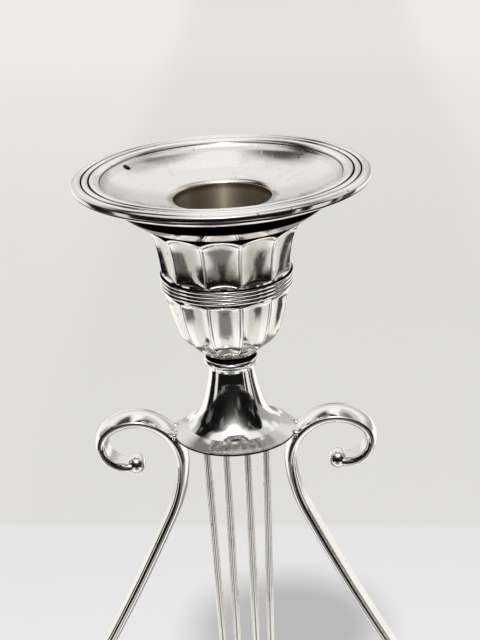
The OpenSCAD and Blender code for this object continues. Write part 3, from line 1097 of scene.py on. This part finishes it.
steel = plain("steel_plain", (0.50, 0.51, 0.53), 0.38, 1.0, 300)
pitch = plain("pitch_cast", (0.05, 0.04, 0.035), 0.55, 0.0, 120)
baize = plain("baize_green", (0.045, 0.16, 0.075), 0.92, 0.0, 900)
for nodes, mat in (
    (("base_plate", "tie_rod", "tie_nut", "tie_washer"), steel),
    (("base_filling",), pitch),
    (("baize_pad",), baize),
    (("capital_liner", "liner_floor"), socket_metal),
):
    for node in nodes:
        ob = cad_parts[node]
        if not ob.material_slots:
            ob.data.materials.append(mat)
        for slot in ob.material_slots:
            slot.material = mat


# ---------------------------------------------------------------- camera

CAMERA_AT = Vector((0.0200, -0.32027, cad_hi.z + 0.08967))
CAMERA_TURN = (21.365, -3.132, -3.043)  # degrees down, to the right and over
LENS, SENSOR = 84.375, 36


def make_camera():
    pitch, yaw, roll = (math.radians(a) for a in CAMERA_TURN)
    flat = math.cos(pitch)
    ahead = Vector((math.sin(yaw) * flat, math.cos(yaw) * flat, -math.sin(pitch)))
    level = Vector((math.cos(yaw), -math.sin(yaw), 0))
    upright = level.cross(ahead)
    right = math.cos(roll) * level + math.sin(roll) * upright
    up = -math.sin(roll) * level + math.cos(roll) * upright
    camera = bpy.data.objects.new("camera", bpy.data.cameras.new("camera"))
    camera.data.lens = LENS
    camera.data.sensor_width = SENSOR
    camera.data.clip_start, camera.data.clip_end = 0.01, 50
    pose = Matrix((right, up, -ahead)).transposed().to_4x4()
    pose.translation = CAMERA_AT
    camera.matrix_world = pose
    bpy.context.scene.collection.objects.link(camera)
    bpy.context.scene.camera = camera


make_camera()


# ---------------------------------------------------------------- stage, in metres and degrees

TABLE_HALF = 6.0
TABLE_END = 0.34  # the far edge of the table, behind the object
JUST_ABOVE = 0.0006  # height of the ring that lights the silver from the table
LAMP = Vector((-0.013, -1.088, 1.49))
LAMP_SIZE, LAMP_POWER = 0.11, 22
LAMP_AIM = Vector((0.0, 0.0, 0.26))
GLOW_FROM = Vector((0.0, 0.0, 0.25))  # the lamp's glow is set for silver at this height


def make_floor():
    """Pale table, with a line where it ends and the wall's tones past it: painted shade darker near the
    line, and a painted glow that grows further back.
    """
    mat, n, bsdf = new_material("table")
    x, y, _ = n.split(n.object)
    back = n.math("ADD", y, n.times(x, 0.06))
    # painted shade: the wall darker near the line, paler further back
    wall = n.mix(n.ramp(back, (TABLE_END, 2.0, 0, 1)), (0.75, 0.745, 0.73), (0.84, 0.832, 0.818))
    past_line = n.ramp(back, (TABLE_END - 0.004, TABLE_END + 0.003, 0, 1))
    n.link(n.mix(past_line, (0.80, 0.80, 0.812), wall), bsdf.inputs["Base Color"])
    # painted light: the wall glows, more the further back it is
    bsdf.inputs["Emission Color"].default_value = (1.0, 0.99, 0.975, 1)
    n.link(n.ramp(back, (TABLE_END - 0.004, 1.6, 0.0, 0.21)), bsdf.inputs["Emission Strength"])
    bsdf.inputs["Roughness"].default_value = 0.6
    bsdf.inputs["Specular IOR Level"].default_value = 0.2
    s = TABLE_HALF
    ob = add_object("table", [(-s, -s, 0), (s, -s, 0), (s, s, 0), (-s, s, 0)], [(0, 1, 2, 3)], mat)


def table_tone(n):
    """How bright each place on the table looks in the silver."""
    x, y, _ = n.split(n.object)
    ragged = n.math("SUBTRACT", n.noise(9, 2), 0.5)
    y = n.math("ADD", y, n.times(ragged, 0.12))
    far = n.math("SQRT", n.math("ADD", n.times(x, x), n.times(y, y)))
    east = n.heading(x, y)
    behind = n.step(y, 0.05, 0.03)
    own_shadow = n.times(n.between(x, -0.15, 0.16, 0.03), behind)
    tone = n.over(1.08, own_shadow, 0.30)
    front = n.below(y, 0.05, 0.1)
    tone = n.over(tone, n.times(n.step(far, 0.24, 0.06), front), 0.80)
    near_shade = n.times(n.between(x, -0.10, 0.075, 0.015), n.below(y, -0.155, 0.015))
    far_shade = n.times(n.between(x, -0.2, 0.2, 0.03), n.below(y, -0.355, 0.02))
    tone = n.over(tone, n.math("MAXIMUM", near_shade, far_shade), 0.28)
    for at, wide, grey in ((-50, 11, 0.15), (54, 11, 0.09), (112, 10, 0.06)):
        patch = n.times(n.between(east, at - wide, at + wide, 2), n.step(far, 0.27, 0.03))
        tone = n.over(tone, patch, grey)
    front_dark = n.times(n.between(x, -0.075, 0.025, 0.01), n.below(y, -0.33, 0.02))
    tone = n.over(tone, front_dark, 0.02)
    dark = n.times(n.step(far, 0.445, 0.02), n.between(east, -115, 100, 4))
    tone = n.over(tone, dark, 0.008)
    # pale gaps in the dark
    for lo, hi in ((-84, -70), (58, 62), (72, 90)):
        tone = n.over(tone, n.times(dark, n.between(east, lo, hi, 1.5)), 0.85)
    return tone


def make_table_light():
    """What the silver sees where the table is: pale near the foot, grey and then dark in front."""
    mat, n, glow = new_material("table_light", "ShaderNodeEmission")
    glow.inputs["Color"].default_value = (1.0, 0.975, 0.94, 1)
    n.link(table_tone(n), glow.inputs["Strength"])
    rings = [(r, JUST_ABOVE) for r in (0.085, 0.5, 1.5, 5.9)]
    verts, faces = revolve(rings, 64, closed=False)
    ob = add_object("table_light", verts, [turned_over(f) for f in faces], mat)
    ob.visible_camera = False
    ob.visible_diffuse = False
    ob.visible_shadow = False


def room_tone(n):
    """How bright each direction above the table looks in the silver."""
    x, y, z = n.split(n.direction)
    blur = n.noise(3.2, 3, vector=n.direction)
    blur = n.times(n.math("SUBTRACT", blur, 0.5), 26.0)
    east = n.math("ADD", n.heading(x, y), blur)
    rise = n.times(n.math("ARCSINE", z), 180 / math.pi)
    above, high = n.step(rise, 37, 4), n.step(rise, 51, 4)

    # back wall, then the ceiling with a dim patch either side of a bright strip
    level = n.math("SUBTRACT", 0.70, n.times(x, 0.36))
    tone = n.over(level, n.step(rise, 19, 4), 0.92)
    tone = n.over(n.over(tone, above, 0.62), high, 0.36)
    for lo, hi, dim, base in ((-0.66, -0.20, 0.06, 44), (0.26, 0.72, 0.2, 50)):
        tone = n.over(tone, n.times(n.step(rise, base, 4), n.between(x, lo, hi, 0.07)), dim)
    tone = n.over(tone, n.times(above, n.between(x, -0.16, 0.13, 0.08)), 1.0)
    tone = n.over(tone, n.times(high, n.below(y, 0.30, 0.05)), 0.88)
    behind = n.math("SUBTRACT", 1.0, n.between(east, -152, 152, 6))
    tone = n.over(tone, n.times(behind, n.below(rise, 5, 5)), 0.5)

    # the dark front of the room, with a little clutter, and a dim corner either side of the back
    front = n.times(n.between(east, -126, 95, 4), n.below(n.math("ADD", rise, blur), 50, 7))
    clutter = n.times(n.step(n.noise(2.6, 3, vector=n.direction), 0.62, 0.03), 0.12)
    tone = n.over(tone, front, n.math("ADD", clutter, 0.006))
    for at in (124, -124):
        corner = n.times(n.between(east, at - 8, at + 8, 4), n.below(rise, 26, 10))
        tone = n.over(tone, corner, 0.4)

    # the lamp and its glow
    toward = n.tree.nodes.new("ShaderNodeVectorMath")
    toward.operation = "DOT_PRODUCT"
    n.link(n.direction, toward.inputs[0])
    toward.inputs[1].default_value = (LAMP - GLOW_FROM).normalized()
    near_lamp = n.math("MAXIMUM", toward.outputs["Value"], 0.0)
    for power, strength in ((700, 17.0), (120, 7.0), (24, 1.9), (10, 0.42)):
        tone = n.math("ADD", tone, n.times(n.math("POWER", near_lamp, power), strength))
    return tone


def make_room():
    """A plain pale room; the silver alone sees its dark side in front of the object."""
    world = bpy.data.worlds.new("studio")
    bpy.context.scene.world = world
    world.use_nodes = True
    world.cycles.sampling_method = "NONE"
    tree = world.node_tree
    tree.nodes.clear()
    out = tree.nodes.new("ShaderNodeOutputWorld")
    plain_bg = tree.nodes.new("ShaderNodeBackground")
    plain_bg.inputs["Color"].default_value = (1.0, 0.995, 0.985, 1)
    plain_bg.inputs["Strength"].default_value = 0.63
    seen_bg = tree.nodes.new("ShaderNodeBackground")
    seen_bg.inputs["Color"].default_value = (1.0, 0.99, 0.975, 1)
    tree.links.new(room_tone(Nodes(tree)), seen_bg.inputs["Strength"])
    pick = tree.nodes.new("ShaderNodeMixShader")
    path = tree.nodes.new("ShaderNodeLightPath")
    tree.links.new(path.outputs["Is Glossy Ray"], pick.inputs["Fac"])
    tree.links.new(plain_bg.outputs["Background"], pick.inputs[1])
    tree.links.new(seen_bg.outputs["Background"], pick.inputs[2])
    tree.links.new(pick.outputs["Shader"], out.inputs["Surface"])


def make_lamp():
    """One small soft light above the camera; the silver sees the room's glow in its place."""
    data = bpy.data.lights.new("lamp", "AREA")
    data.shape = "DISK"
    data.size = LAMP_SIZE
    data.energy = LAMP_POWER
    lamp = bpy.data.objects.new("lamp", data)
    lamp.location = LAMP
    lamp.rotation_mode = "QUATERNION"
    lamp.rotation_quaternion = (LAMP_AIM - LAMP).to_track_quat("-Z", "Y")
    bpy.context.scene.collection.objects.link(lamp)
    lamp.visible_glossy = False


make_floor()
make_table_light()
make_room()
make_lamp()

bpy.context.scene.view_settings.view_transform = "Standard"
bpy.context.scene.view_settings.look = "None"
